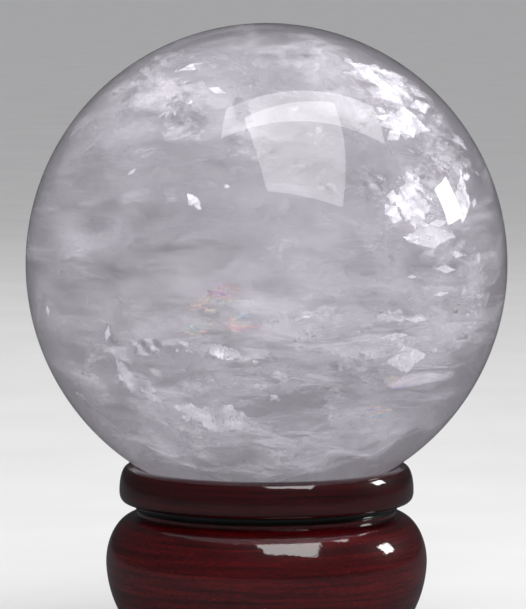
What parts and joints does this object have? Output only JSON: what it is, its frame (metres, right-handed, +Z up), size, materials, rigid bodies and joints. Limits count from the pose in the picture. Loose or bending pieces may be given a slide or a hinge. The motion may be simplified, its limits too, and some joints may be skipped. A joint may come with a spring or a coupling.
{
  "type": "crystal ball",
  "caption": "Polished rock-crystal ball that rests on a loose felt ring in the dish of a turned, red-lacquered wooden stand, and turns in its seat or lifts off",
  "frame": {"origin": "centre of the underside of the felt disc, on the table", "axes": "+Z up along the common axis of stand and ball, -Y towards the viewer's front, +X to the right"},
  "size_m": [0.1, 0.1, 0.1327],
  "materials": {
    "rock_crystal": "polished",
    "pad_felt": "matte",
    "red_lacquer": "gloss",
    "drum_lacquer": "gloss",
    "black_lacquer": "gloss",
    "base_felt": "matte",
    "screw_steel": "satin",
    "dowel_beech": "matte"
  },
  "bodies": {
    "stand": {"seat_rim": "red_lacquer", "waist_spool": "black_lacquer", "drum_body": "drum_lacquer", "foot_collar": "black_lacquer", "foot_ring": "red_lacquer", "base_felt": "base_felt", "seat_screw": "screw_steel", "foot_screw": "screw_steel", "rim_dowel_1": "dowel_beech", "rim_dowel_2": "dowel_beech", "foot_dowel_1": "dowel_beech", "foot_dowel_2": "dowel_beech"},
    "pad": {"seat_pad": "pad_felt"},
    "ball": {"crystal_ball": "rock_crystal"}
  },
  "joints": [
    {"name": "ball_turn", "type": "hinge", "parent": "stand", "child": "pad", "pos_m": [0, 0, 0.038], "axis": [0, 0, 1], "continuous": true},
    {"name": "ball_lift", "type": "slide", "parent": "pad", "child": "ball", "axis": [0, 0, 1], "range_m": [0, 0.03]}
  ]
}
